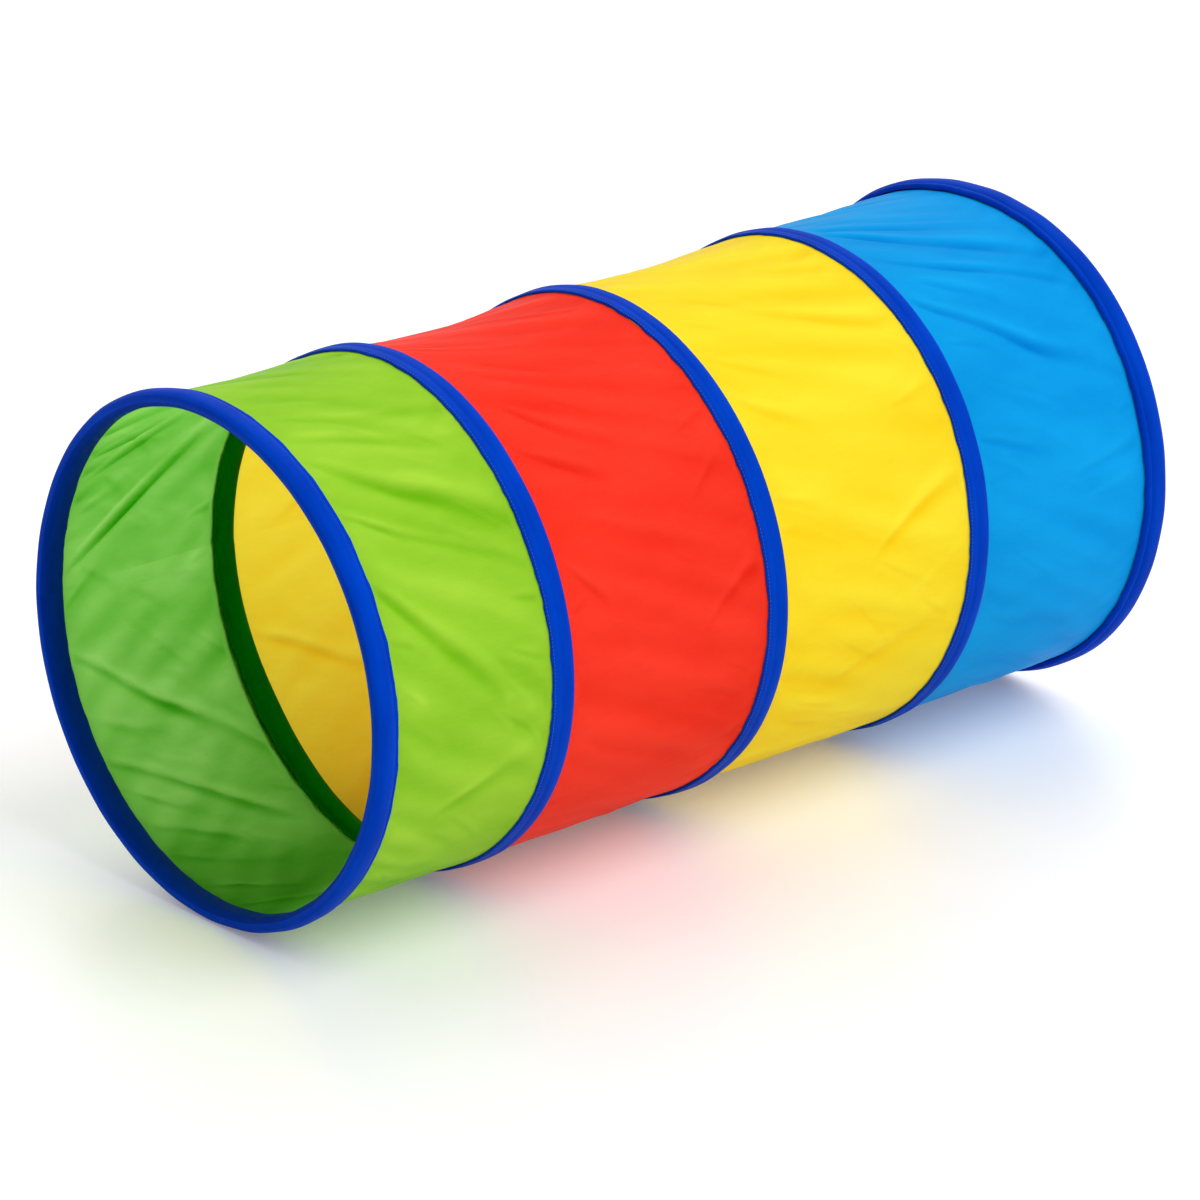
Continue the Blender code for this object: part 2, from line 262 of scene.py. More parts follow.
# Procedural materials
class Graph:
    """A material's node tree, with short calls to add and join nodes."""

    def __init__(self, name):
        self.material = bpy.data.materials.new(name)
        self.material.use_nodes = True
        self.tree = self.material.node_tree
        self.tree.nodes.clear()

    def add(self, kind, links=None, **settings):
        node = self.tree.nodes.new("ShaderNode" + kind)
        for key, value in settings.items():
            setattr(node, key, value)
        for socket, value in (links or {}).items():
            if isinstance(value, bpy.types.NodeSocket):
                self.tree.links.new(value, node.inputs[socket])
            else:
                node.inputs[socket].default_value = value
        return node

    def math(self, operation, *values):
        return self.add("Math", dict(enumerate(values)), operation=operation).outputs[0]

    def noise(self, vector, scale, detail=3.0, roughness=0.5):
        links = {"Vector": vector, "Scale": scale, "Detail": detail, "Roughness": roughness}
        return self.add("TexNoise", links).outputs["Fac"]

    def stretch(self, vector, scale, turn=0.0):
        links = {"Vector": vector, "Scale": scale, "Rotation": (0, 0, turn)}
        return self.add("Mapping", links).outputs[0]

    def fit(self, value, low, high, new_low, new_high):
        links = {0: value, 1: low, 2: high, 3: new_low, 4: new_high}
        return self.add("MapRange", links).outputs[0]

    def blend(self, factor, first, second):
        """One colour to another. A colour Mix node has its colours at inputs 6, 7 and output 2."""
        links = {0: factor, 6: first, 7: second}
        return self.add("Mix", links, data_type="RGBA").outputs[2]

    def bump(self, height, strength, distance, normal=None):
        links = {"Height": height, "Strength": strength, "Distance": distance}
        if normal is not None:
            links["Normal"] = normal
        return self.add("Bump", links).outputs[0]

    def ribs(self, uv, threads, direction):
        """Height of ribs, about that many in a metre. A wave texture has some 20 at scale 1."""
        links = {"Vector": uv, "Scale": threads / 20}
        return self.add("TexWave", links, bands_direction=direction).outputs["Fac"]

    def weave(self, uv, threads):
        """Height of a plain weave with that many threads in a metre."""
        return self.math("MULTIPLY", self.ribs(uv, threads, "X"), self.ribs(uv, threads, "Y"))

    def finish(self, shader):
        self.add("OutputMaterial", {"Surface": shader})
        return self.material


CLOTH_ROUGHNESS, TAPE_ROUGHNESS = 0.42, 0.55


def cloth_material(name, light, deep, glow, shaded_glow, shares, tint):
    """Thin satin polyester: soft gloss, fine weave, small crinkles, and light shining through.

    The colour is painted deeper in the dips as shade and lighter on the swells as a highlight, by
    the mesh's dip attribute, which runs from -1 to 1. The light shining through is painted darker
    in the dips as shade too. shares says how much light comes through, seen from the open side and
    from within the cloth.
    """
    g = Graph(name)
    uv = g.add("TexCoord").outputs["UV"]
    patches = g.noise(g.stretch(uv, (9, 4, 1), radians(20)), 1.0, 4, 0.55)
    threads = g.noise(g.stretch(uv, (900, 60, 1)), 1.0, 2)
    # Painted shade and highlight: the colour darkens in the dips and lightens on the swells, by
    # the dip attribute
    dip = g.add("Attribute", attribute_name="dip").outputs["Fac"]
    soft = g.fit(patches, 0.30, 0.70, 0.0, 0.45)
    shade = g.math("MAXIMUM", g.math("ADD", soft, g.fit(dip, -0.6, 1.0, -0.30, 0.70)), 0.0)
    streaks = g.fit(threads, 0.3, 0.7, 0.0, 0.08)
    colour = g.blend(g.math("ADD", shade, streaks), light, deep)
    crinkle = g.noise(g.stretch(uv, (46, 15, 1), radians(24)), 1.0, 4, 0.55)
    fine = g.bump(g.weave(uv, 2400), 0.08, 0.0002)
    normal = g.bump(crinkle, 0.40, 0.004, fine)
    gloss = g.fit(patches, 0.3, 0.7, CLOTH_ROUGHNESS + 0.05, CLOTH_ROUGHNESS - 0.05)
    cloth = g.add("BsdfPrincipled", {
        "Base Color": colour, "Roughness": gloss, "Normal": normal, "Specular IOR Level": 0.012,
        "Specular Tint": tint,
    })
    # Painted shade: the light shining through is darker in the dips, by the same shade as the
    # colour
    shine = g.blend(shade, glow, shaded_glow)
    through = g.add("BsdfTranslucent", {"Color": shine, "Normal": normal})
    within = g.add("NewGeometry").outputs["Backfacing"]
    share = g.fit(within, 0.0, 1.0, *shares)
    mixed = g.add("MixShader", {0: share, 1: cloth.outputs[0], 2: through.outputs[0]})
    return g.finish(mixed.outputs[0])


def tape_material(name, light, deep, tint):
    """Woven binding tape: close cross ribs, a dull gloss, darker where it is pulled tight."""
    g = Graph(name)
    uv = g.add("TexCoord").outputs["UV"]
    patches = g.noise(g.stretch(uv, (14, 60, 1)), 1.0, 3)
    fibres = g.noise(g.stretch(uv, (1600, 120, 1)), 1.0, 2)
    shade = g.fit(patches, 0.3, 0.7, 0.0, 0.6)
    fleck = g.fit(fibres, 0.3, 0.7, 0.0, 0.15)
    colour = g.blend(g.math("ADD", shade, fleck), light, deep)
    fine = g.bump(g.ribs(uv, 1300, "X"), 0.18, 0.0002)
    puckers = g.noise(g.stretch(uv, (75, 30, 1)), 1.0, 2)
    normal = g.bump(puckers, 0.20, 0.0018, fine)
    gloss = g.fit(fibres, 0.3, 0.7, TAPE_ROUGHNESS - 0.05, TAPE_ROUGHNESS + 0.06)
    tape = g.add("BsdfPrincipled", {
        "Base Color": colour, "Roughness": gloss, "Normal": normal, "Specular IOR Level": 0.04,
        "Specular Tint": tint,
    })
    return g.finish(tape.outputs[0])


def thread_material(name, colour):
    """Twisted sewing thread."""
    g = Graph(name)
    place = g.add("TexCoord").outputs["Object"]
    twist = g.add("TexWave", {"Vector": place, "Scale": 260}, bands_direction="DIAGONAL")
    normal = g.bump(twist.outputs["Fac"], 0.3, 0.0002)
    thread = g.add("BsdfPrincipled", {
        "Base Color": colour, "Roughness": 0.5, "Normal": normal, "Sheen Weight": 0.2,
    })
    return g.finish(thread.outputs[0])


def steel_material(name, colour, roughness):
    """Drawn steel with fine lines along the wire and slight dull spots."""
    g = Graph(name)
    place = g.add("TexCoord").outputs["Object"]
    lines = g.noise(g.stretch(place, (900, 60, 60)), 1.0, 2)
    dull = g.noise(place, 70, 3)
    steel = g.add("BsdfPrincipled", {
        "Base Color": g.blend(g.fit(dull, 0.4, 0.7, 0.0, 0.5), colour, srgb(120, 122, 126)),
        "Metallic": 1.0, "Roughness": g.fit(dull, 0.3, 0.7, roughness, roughness + 0.15),
        "Normal": g.bump(lines, 0.15, 0.0001),
    })
    return g.finish(steel.outputs[0])


# Mesh building
def place_in_scene(name, data):
    """A new object with that mesh, lamp or camera."""
    made = bpy.data.objects.new(name, data)
    bpy.context.scene.collection.objects.link(made)
    return made


def sweep(name, grid, around, along, materials, slots=None, mirrored=None):
    """A closed surface through grid[n, k]: n sections round the tunnel, each a loop of k points.

    around and along are the UV distances in metres, with one more value than n and k. With
    mirrored, a yes or no for each of the k points, the faces are triangles, cut along the other
    diagonal where it says yes, so that the two faces of a thin cloth never cross.
    """
    count, loop = grid.shape[:2]
    grid = grid.copy()
    grid[..., 2] = np.maximum(grid[..., 2], 0)
    i, j = np.meshgrid(np.arange(count), np.arange(loop), indexing="ij")
    after, across = (i + 1) % count, (j + 1) % loop
    here, there = i * loop, after * loop
    quads = np.stack((here + j, there + j, there + across, here + across), -1)
    corner_u = np.stack((around[i], around[i + 1], around[i + 1], around[i]), -1)
    corner_v = np.stack((along[j], along[j], along[j + 1], along[j + 1]), -1)
    flat = grid.reshape(-1, 3)
    first, second, third = (flat[quads[..., corner].ravel()] for corner in range(3))
    if np.einsum("ij,ij->i", first, np.cross(second, third)).sum() < 0:
        quads, corner_u, corner_v = quads[..., ::-1], corner_u[..., ::-1], corner_v[..., ::-1]
    faces, slots = quads.reshape(-1, 4), np.zeros(loop) if slots is None else slots
    uv, slots = np.stack((corner_u, corner_v), -1).reshape(-1, 4, 2), np.tile(slots, count)
    if mirrored is not None:
        other = np.tile(mirrored, count)[:, None, None]
        cut = np.where(other, [[[0, 1, 3], [1, 2, 3]]], [[[0, 1, 2], [0, 2, 3]]])
        rows = np.arange(len(faces))[:, None, None]
        faces, uv, slots = faces[rows, cut].reshape(-1, 3), uv[rows, cut], np.repeat(slots, 2)
    mesh = bpy.data.meshes.new(name)
    mesh.from_pydata(flat.tolist(), [], faces.tolist())
    layer = mesh.uv_layers.new(name="metres")
    layer.data.foreach_set("uv", uv.astype(np.float32).ravel())
    for material in materials:
        mesh.materials.append(material)
    mesh.polygons.foreach_set("material_index", slots.astype(np.int32))
    mesh.shade_smooth()
    return place_in_scene(name, mesh)


def smooth_line(points):
    """Points on a soft curve through the given ones, a few between each two."""
    points = np.array(points, float)
    padded = np.vstack((2 * points[0] - points[1], points, 2 * points[-1] - points[-2]))
    made = []
    for a, b, c, d in zip(padded, padded[1:], padded[2:], padded[3:]):
        for step in range(CURVE_STEPS):
            t = step / CURVE_STEPS
            made.append(0.5 * (2 * b + (c - a) * t + (2 * a - 5 * b + 4 * c - d) * t * t
                               + (3 * b - a - 3 * c + d) * t ** 3))
    return np.vstack((made, points[-1:]))


def thicken(line, thickness):
    """A closed strip from a line of (x, radius) points, thickened to the line's right."""
    ahead = np.gradient(line, axis=0)
    normal = np.stack((ahead[:, 1], -ahead[:, 0]), -1)
    normal /= np.linalg.norm(normal, axis=1)[:, None]
    return np.vstack((line, (line + normal * thickness)[::-1]))


def lengths(loop):
    """Distance along a closed loop of points, from its start back to its start."""
    steps = np.linalg.norm(np.roll(loop, -1, axis=0) - loop, axis=1)
    return np.concatenate(([0], np.cumsum(steps)))


def waves(seed, angle, count, low, high):
    """A smooth wavy line round the tunnel, about from -1 to 1."""
    rng = np.random.default_rng(seed)
    total = np.zeros_like(angle)
    for _ in range(count):
        total += np.cos(rng.integers(low, high) * angle + rng.uniform(0, 2 * pi))
    return total / np.sqrt(count)


def turn(name, loop, ring, materials, steps, wobble=None, slots=None):
    """Turn a closed (x, radius) loop round a ring's axis. wobble shifts it at each angle."""
    angle = np.arange(steps) * 2 * pi / steps
    section = np.repeat(loop[None], steps, axis=0)
    section[..., 1] += bend(ring, angle)[:, None]
    if wobble is not None:
        section = section + wobble(angle, section)
    grid = np.stack((
        section[..., 0],
        section[..., 1] * np.cos(angle)[:, None],
        ring.height + section[..., 1] * np.sin(angle)[:, None],
    ), -1)
    around = np.arange(steps + 1) * 2 * pi / steps * ring.radius
    return sweep(name, grid, around, lengths(loop), materials, slots)


# The cloth
def soft_step(value):
    """From 0 to 1, easing in and out."""
    value = np.clip(value, 0, 1)
    return value * value * (3 - 2 * value)


def small_folds(bay):
    """Short shallow folds at random places, which slant as the large ones do."""
    rng = np.random.default_rng(7 + len(bay.name))
    folds = []
    for _ in range(SMALL_FOLDS):
        start, middle = rng.uniform(-0.05, 0.85), rng.uniform(-80, 260)
        reach = rng.uniform(0.12, 0.38)
        slant = rng.normal(28, 9) * (1 if middle > TURNED_ANGLE else -1)
        depth, width = rng.choice((-1, 1)) * rng.uniform(0.15, 0.55), rng.uniform(3.5, 6.5)
        folds.append((start, middle, start + reach, middle + slant * reach, depth, width, 0))
    return tuple(folds)


def fold_height(bay, share, angle, radius):
    """Height in metres, outwards, of the folds that are listed for a bay."""
    height = np.zeros(np.broadcast(share, angle).shape)
    rng = np.random.default_rng(len(bay.name))
    for start, first, end, last, depth, width, bow in FOLDS[bay.name] + small_folds(bay):
        along = (share - start) / (end - start)
        middle = first + (last - first) * along + bow * 4 * along * (1 - along)
        middle = middle + 0.7 * np.sin(rng.uniform(5, 11) * share + rng.uniform(0, 2 * pi))
        inside = np.clip(along, 0, 1)
        uneven = 0.85 + 0.25 * np.sin(rng.uniform(7, 14) * share + rng.uniform(0, 2 * pi))
        fade = np.sin(pi * inside) ** 0.6 * uneven
        off = np.degrees(np.angle(np.exp(1j * (angle - np.radians(middle)))))
        off = np.radians(off) * radius / (width / 1000 * (0.55 + 0.75 * inside))
        if last < TURNED_ANGLE:
            off = -off
        if depth < 0:
            height += -depth / 1000 * fade * np.exp(-off * off)
        else:
            dip = np.exp(-((off - 0.75) ** 2)) - 0.55 * np.exp(-((off + 0.85) ** 2))
            height -= depth / 1000 * fade * dip
    return height


def slack_height(seed, share, angle):
    """Soft slanting waves that cover all of the cloth, stronger in some places."""
    rng = np.random.default_rng(seed)
    height = np.zeros(np.broadcast(share, angle).shape)
    for _ in range(SLACK_WAVES):
        number = int(rng.integers(9, 46))
        slant = -number * rng.normal(0.40, 0.10)
        shape = np.cos(number * angle + slant * share + rng.uniform(0, 2 * pi))
        place = rng.uniform(0, 2 * pi, 2)
        patch = 0.5 + 0.5 * np.cos(2 * angle + place[0]) * np.cos(2.2 * pi * share + place[1])
        height += SLACK_HEIGHT / number ** 0.5 * shape * patch
    return height


def gather_height(seed, distance, angle):
    """Little gathers that run out of a seam and die off after some 3 cm."""
    first = waves(seed, angle - 2.2 * distance, 7, 26, 60)
    second = waves(seed + 50, angle, 5, 70, 110)
    uneven = 0.55 + 0.45 * waves(seed + 90, angle, 4, 2, 9)
    first = first * np.exp(-distance / BROAD_GATHER)
    second = second * np.exp(-distance / NARROW_GATHER)
    return GATHER_HEIGHT * uneven * (first + 0.5 * second)


def cloth_at(ring):
    """Radius of the cloth's outer face at a ring, and how far from the seam it lies flat."""
    if ring.name in ("ring_1", "ring_5"):
        return ring.radius - END_CLOTH_DEPTH, HELD_AT_END
    return ring.radius - MIDDLE_CLOTH_DEPTH, HELD_AT_RING


def make_panel(bay, seed):
    """One bay's cloth as a thin closed tube that is drawn in at the waist."""
    front, rear = bay.front, bay.rear
    length = rear.front - front.rear
    front_radius, held_at_front = cloth_at(front)
    rear_radius, held_at_rear = cloth_at(rear)
    x = np.linspace(0, length, STEPS_ALONG + 1)
    x = np.concatenate(([-TUCK, -TUCK / 2], x, [length + TUCK / 2, length + TUCK]))[None, :]
    share = np.clip(x / length, 0, 1)
    angle = (np.arange(STEPS_ROUND) * 2 * pi / STEPS_ROUND)[:, None]
    radius = front_radius + (rear_radius - front_radius) * share
    hang = 0.5 + 0.5 * np.sin(angle)
    base = radius - bay.waist * 4 * share * (1 - share) * soft_step(1.35 * hang)
    carried = soft_step(share)
    base = base + bend(front, angle) * (1 - carried) + bend(rear, angle) * carried
    held = soft_step(np.minimum(x - held_at_front, length - x - held_at_rear) / HELD_SOFTLY)
    folds = FOLD_STRENGTH * fold_height(bay, share, angle, radius)
    folds += slack_height(seed, share, angle)
    folds += gather_height(seed + 1, np.clip(x, 0, length), angle)
    folds += gather_height(seed + 2, np.clip(length - x, 0, length), angle)
    low = soft_step((np.minimum(x, length - x) - HELD_AT_RING) / CLOSED_REACH)
    folds = np.where(folds > 0, folds * low, folds) * held
    base = base + folds
    # Painted shade: from 1 deep in a dip to -1 high on a swell, to darken the colour in dips and
    # lighten it on swells
    dip_shade = np.clip(-folds / FULL_SHADE_DIP, -1, 1)
    height = front.height + (rear.height - front.height) * share

    def surface(radii):
        place = np.broadcast_to(front.rear + x, radii.shape)
        return np.stack((place, radii * np.cos(angle), height + radii * np.sin(angle)), -1)

    grid = np.concatenate((surface(base), surface(base - CLOTH)[:, ::-1]), axis=1)
    around = np.arange(STEPS_ROUND + 1) * 2 * pi / STEPS_ROUND * front_radius
    line = x[0] + front.rear
    along = np.concatenate((line, line[::-1], line[:1]))
    rows = len(line)
    slots = np.array([0] * rows + [1] * rows)
    panel = sweep(bay.name, grid, around, along, [bay.outer, bay.inner], slots, slots == 1)
    # The painted shade goes to the mesh as its dip attribute
    dips = panel.data.attributes.new("dip", "FLOAT", "POINT")
    dips.data.foreach_set("value", np.concatenate((dip_shade, dip_shade[:, ::-1]), axis=1).ravel())
    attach(panel, bay.body)
    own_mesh(panel)
    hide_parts(bay.node)


# Each cloth's colour in the light and the darker colour painted in its dips as shade, its glow and
# the darker glow painted in its dips as shade, how much light comes through, and the tint of its
# gloss. The red bay is lined with yellow
OUTSIDE, INSIDE = (0.15, 0.85), (0.60, 0.85)
green_out = cloth_material(
    "green satin outside", srgb(171, 218, 60), srgb(108, 180, 8), srgb(212, 254, 190),
    srgb(140, 225, 80), OUTSIDE, srgb(230, 255, 150))
# The inside face is the same green cloth, painted a much darker green as shade inside the tunnel
green_in = cloth_material(
    "green satin inside", srgb(84, 178, 16), srgb(40, 134, 0), srgb(196, 230, 156),
    srgb(84, 184, 22), (0.68, 0.90), srgb(200, 255, 150))
red_out = cloth_material(
    "red satin outside", srgb(251, 56, 43), srgb(226, 24, 15), srgb(255, 253, 150),
    srgb(255, 244, 120), (0.02, 0.92), srgb(255, 170, 150))
red_in = cloth_material(
    "yellow satin lining", srgb(252, 216, 32), srgb(232, 184, 6), srgb(240, 228, 116),
    srgb(238, 208, 70), (0.80, 0.92), srgb(255, 245, 190))
yellow_out = cloth_material(
    "yellow satin outside", srgb(255, 235, 54), srgb(249, 203, 2), srgb(255, 246, 150),
    srgb(255, 232, 90), OUTSIDE, srgb(255, 245, 190))
yellow_in = cloth_material(
    "yellow satin inside", srgb(250, 216, 40), srgb(236, 190, 10), srgb(240, 228, 124),
    srgb(238, 208, 78), INSIDE, srgb(255, 245, 190))
blue_out = cloth_material(
    "light blue satin outside", srgb(16, 167, 236), srgb(0, 132, 210), srgb(110, 205, 255),
    srgb(60, 175, 245), OUTSIDE, srgb(150, 215, 255))
blue_in = cloth_material(
    "light blue satin inside", srgb(24, 154, 230), srgb(6, 130, 206), srgb(104, 190, 234),
    srgb(50, 156, 222), INSIDE, srgb(150, 215, 255))
blue_tape = tape_material("royal blue tape", srgb(0, 66, 194), srgb(0, 48, 164), srgb(0, 140, 255))
# The same tape painted a darker blue as shade, for the rims' inner side
shaded_inner_tape = tape_material("royal blue tape, inner side", srgb(0, 50, 156), srgb(0, 36, 126),
                           srgb(0, 100, 220))
green_tape = tape_material("dark green strip", srgb(0, 104, 6), srgb(0, 82, 2), srgb(60, 255, 60))
ochre_tape = tape_material("ochre strip", srgb(215, 170, 20), srgb(195, 150, 10),
                           srgb(255, 230, 120))
blue_thread = thread_material("blue thread", srgb(10, 68, 196))
steel = steel_material("drawn spring steel", srgb(190, 192, 196), 0.28)
plated = steel_material("plated steel", srgb(205, 207, 210), 0.34)

front_ring, ring_2, ring_3, ring_4, rear_ring = RINGS
BAYS = (
    Bay("green_cloth", "ring_2", "green_panel", "green_cloth", front_ring, ring_2,
        "green_bay_close", 0.0024, green_out, green_in),
    Bay("red_cloth", "ring_3", "red_panel", "red_cloth", ring_2, ring_3,
        "red_bay_close", 0.0072, red_out, red_in),
    Bay("yellow_cloth", "ring_3", "yellow_panel", "yellow_cloth", ring_3, ring_4,
        "yellow_bay_close", 0.0043, yellow_out, yellow_in),
    Bay("blue_cloth", "ring_4", "blue_panel", "light_blue_cloth", ring_4, rear_ring,
        "blue_bay_close", 0.0014, blue_out, blue_in),
)
for number, bay in enumerate(BAYS):
    make_panel(bay, 100 + 10 * number)


# The padded rings
def scallop(seed, side):
    """Shift the edge of a tape on one side in shallow scallops, as sewing pulls it."""

    def shift(angle, section):
        broad, narrow = waves(seed, angle, 4, 14, 27), waves(seed + 1, angle, 3, 40, 70)
        pull = np.abs(broad) + 0.4 * np.abs(narrow)
        middle = (section[..., 0].min() + section[..., 0].max()) / 2
        half = (section[..., 0].max() - section[..., 0].min()) / 2
        place = (section[..., 0] - middle) / half * side
        weight = np.clip((place - 0.55) / 0.45, 0, 1) ** 2
        change = np.zeros_like(section)
        change[..., 0] = -side * weight * SCALLOP * pull[:, None]
        swell = waves(seed + 2, angle, 5, 8, 30)[:, None] * SWELL
        change[..., 1] = swell * (1 - np.clip(np.abs(place) - 0.6, 0, 1))
        return change
    return shift


def hang_strip(seed, top, scallops):
    """Scallops, and a slack place low on the far side where the strip hangs deeper."""
    pull = scallop(seed, -1)

    def shift(angle, section):
        change = pull(angle, section)
        change[..., 0] *= scallops
        slack = np.exp(-((np.degrees(angle) - SLACK_ANGLE) / SLACK_WIDTH) ** 2)[:, None]
        change[..., 1] -= SLACK_SHARE * slack * np.clip(top - section[..., 1], 0, None)
        return change
    return shift


# Sections of the tapes. A casing and the strip inside it are given as shares of half their width
# and of their height, a rim's binding as shares of its width and depth from its outer edge
CASING = (
    (-1.00, 0.11), (-0.985, 0.34), (-0.90, 0.57), (-0.74, 0.72), (-0.52, 0.79), (-0.36, 0.78),
    (-0.24, 0.79), (-0.12, 0.88), (0.02, 0.97), (0.18, 1.00), (0.42, 0.99), (0.62, 0.90),
    (0.80, 0.70), (0.93, 0.42), (1.00, 0.10),
)
FACING = (
    (-1.00, 0.02), (-0.82, 0.05), (-0.70, 0.24), (-0.58, 0.60), (-0.34, 0.87), (-0.02, 1.00),
    (0.34, 0.98), (0.63, 0.86), (0.85, 0.62), (0.96, 0.32), (1.00, 0.06),
)
BINDING = (
    (1.00, 0.45), (0.99, 0.33), (0.955, 0.22), (0.90, 0.165), (0.84, 0.160), (0.79, 0.183),
    (0.745, 0.135), (0.68, 0.07), (0.58, 0.015), (0.46, 0.00), (0.34, 0.005), (0.24, 0.03),
    (0.14, 0.10), (0.07, 0.19), (0.025, 0.27), (0.035, 0.315), (0.01, 0.37), (0.00, 0.48),
    (0.01, 0.60), (0.03, 0.70), (0.06, 0.80), (0.12, 0.90), (0.22, 0.975), (0.36, 1.00),
    (0.55, 0.99), (0.74, 0.94), (0.88, 0.87), (0.97, 0.78), (1.00, 0.68),
)


def make_stitches(ring, x, radius, seed):
    """A row of short stitches round a ring, half sunk into the tape."""
    count = int(2 * pi * radius / STITCH_PITCH)
    rng = np.random.default_rng(seed)
    outline = np.array([(-1, 0.25), (-0.55, 0.9), (0.55, 0.9), (1, 0.25)])
    points, faces = [], []
    lift = bend(ring, (np.arange(count) + 0.5) * 2 * pi / count)
    for index in range(count):
        middle = (index + 0.5) * 2 * pi / count
        sway = rng.normal(0, 0.00007)
        base = len(points)
        for along, size in outline:
            turned = middle + along * STITCH_PITCH * STITCH_SHARE / radius
            for corner in range(4):
                spin = pi / 4 + corner * pi / 2
                out = radius + lift[index] + STITCH_SIZE * size * sin(spin)
                points.append((
                    x + sway * along + STITCH_SIZE * size * cos(spin) * 1.3,
                    out * cos(turned),
                    max(ring.height + out * sin(turned), 0.0001),
                ))
        for band in range(3):
            for corner in range(4):
                a, b = base + band * 4 + corner, base + band * 4 + (corner + 1) % 4
                faces.append((a, b, b + 4, a + 4))
        faces.append((base + 3, base + 2, base + 1, base))
        faces.append((base + 12, base + 13, base + 14, base + 15))
    mesh = bpy.data.meshes.new(f"{ring.name}_stitches")
    mesh.from_pydata(points, [], faces)
    mesh.materials.append(blue_thread)
    mesh.shade_smooth()
    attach(place_in_scene(mesh.name, mesh), ring.body)


BACKWARD = 1.05


def make_middle_ring(ring, seed, strip, forward, scallops):
    """A middle ring's casing with its stitches, and the strip inside it.

    The casing reaches forward and BACKWARD as shares of half its width. scallops says how deep
    the strip's are, as a share. In rings 3 and 4 they are low, to stay shut when the bays close.
    """
    half = (ring.rear - ring.front) / 2
    middle = (ring.rear + ring.front) / 2
    foot = ring.radius - MIDDLE_CLOTH_DEPTH + TAPE_CLEAR
    rise = ring.radius - foot
    stretch = [BACKWARD, forward]
    line = smooth_line([(middle + half * x * stretch[x < 0], foot + rise * h) for x, h in CASING])
    loop = thicken(line, TAPE)
    casing = turn(f"{ring.name}_tape", loop, ring, [blue_tape], TAPE_STEPS, scallop(seed, -1))
    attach(casing, ring.body)
    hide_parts(f"{ring.name}_casing")
    across, up = STITCHES_ON_TAPE
    make_stitches(ring, middle - half * across * forward, foot + rise * up, seed)
    top = ring.radius - MIDDLE_CLOTH_DEPTH - CLOTH - STRIP_CLEAR
    line = smooth_line([(middle + half * x, top - STRIP_DEPTH * h) for x, h in FACING])
    loop = thicken(line[::-1], TAPE)
    hang = hang_strip(seed + 5, top, scallops)
    facing = turn(f"{ring.name}_strip", loop, ring, [strip], TAPE_STEPS, hang)
    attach(facing, ring.body)
    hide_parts(f"{ring.name}_facing")


def make_end_ring(ring, name, seed):
    """An end ring's folded binding with its stitches. Its inner side is painted a darker blue as
    shade.
    """
    side = 1 if ring.name == "ring_1" else -1
    face = ring.front if side == 1 else ring.rear
    width = ring.rear - ring.front
    line = smooth_line([(face + side * width * x, ring.radius - ROLL * d) for x, d in BINDING])
    loop = thicken(line, TAPE * side)
    steps = np.arange(len(loop))
    # Painted shade: the binding's inner side takes the darker blue copy of the tape
    shaded_side = (steps > len(line) * INNER_SHARE) & (steps < len(loop) - len(line) * INNER_SHARE)
    slots = shaded_side.astype(int)
    tapes = [blue_tape, shaded_inner_tape]
    tape = turn(name, loop, ring, tapes, TAPE_STEPS, scallop(seed, side), slots)
    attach(tape, ring.body)
    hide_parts(ring.node)
    across, down = STITCHES_ON_RIM
    make_stitches(ring, face + side * width * across, ring.radius - ROLL * down, seed)


make_end_ring(front_ring, "front_rim", 11)
make_middle_ring(ring_2, 21, green_tape, 1.22, 1)
make_middle_ring(ring_3, 31, ochre_tape, 1.13, 0.08)
make_middle_ring(ring_4, 41, ochre_tape, 1.09, 0.08)
make_end_ring(rear_ring, "rear_rim", 51)


def make_wire(ring):
    """The hoop, bent as its ring is. It lies unseen in the tape."""
    low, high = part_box(f"{ring.name}_hoop")
    turned = np.arange(WIRE_SIDES) * 2 * pi / WIRE_SIDES
    loop = np.stack((
        (low.x + high.x) / 2 + WIRE / 2 * np.cos(turned),
        ring.radius - HOOP_DEPTH + WIRE / 2 * np.sin(turned),
    ), -1)
    wire = turn(f"{ring.name}_wire", loop, ring, [steel], WIRE_STEPS)
    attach(wire, ring.body)
    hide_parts(f"{ring.name}_hoop")


def make_ferrule(ring):
    """The sleeve that joins the wire's two ends, pressed together in three places."""
    low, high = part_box(f"{ring.name}_ferrule")
    middle = (low + high) / 2
    centre = atan2(middle.z - ring.height, middle.y)
    along = np.linspace(-FERRULE_LENGTH / 2, FERRULE_LENGTH / 2, FERRULE_STEPS)
    pressed = np.exp(-((along[:, None] - CRIMPS) / CRIMP_WIDTH) ** 2).sum(axis=1)
    outside = WIRE / 2 + FERRULE_OUTSIDE - CRIMP_DEPTH * pressed
    inside = np.full_like(along, WIRE / 2 + FERRULE_BORE)
    length = np.concatenate((along, along[::-1]))[None, :]
    size = np.concatenate((outside, inside))[None, :]
    spin = (np.arange(FERRULE_SIDES) * 2 * pi / FERRULE_SIDES)[:, None]
    angle = centre + length / (ring.radius - HOOP_DEPTH)
    out = ring.radius - HOOP_DEPTH + bend(ring, angle) + size * np.sin(spin)
    grid = np.stack(np.broadcast_arrays(
        middle.x + size * np.cos(spin), out * np.cos(angle), ring.height + out * np.sin(angle),
    ), -1)
    around = np.arange(FERRULE_SIDES + 1) * 2 * pi / FERRULE_SIDES * WIRE / 2
    way = np.append(length[0], length[0, 0])
    sleeve = sweep(f"{ring.name}_sleeve", grid, around, way, [plated])
    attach(sleeve, ring.body)
    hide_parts(f"{ring.name}_ferrule")


for ring in RINGS:
    make_wire(ring)
    make_ferrule(ring)


# Stage, light and camera
FLOOR_SIZE, FLOOR_LEVEL = 14.0, -0.0004
FLOOR_GLOW = 0.16
ROOM_LIGHT = 0.46


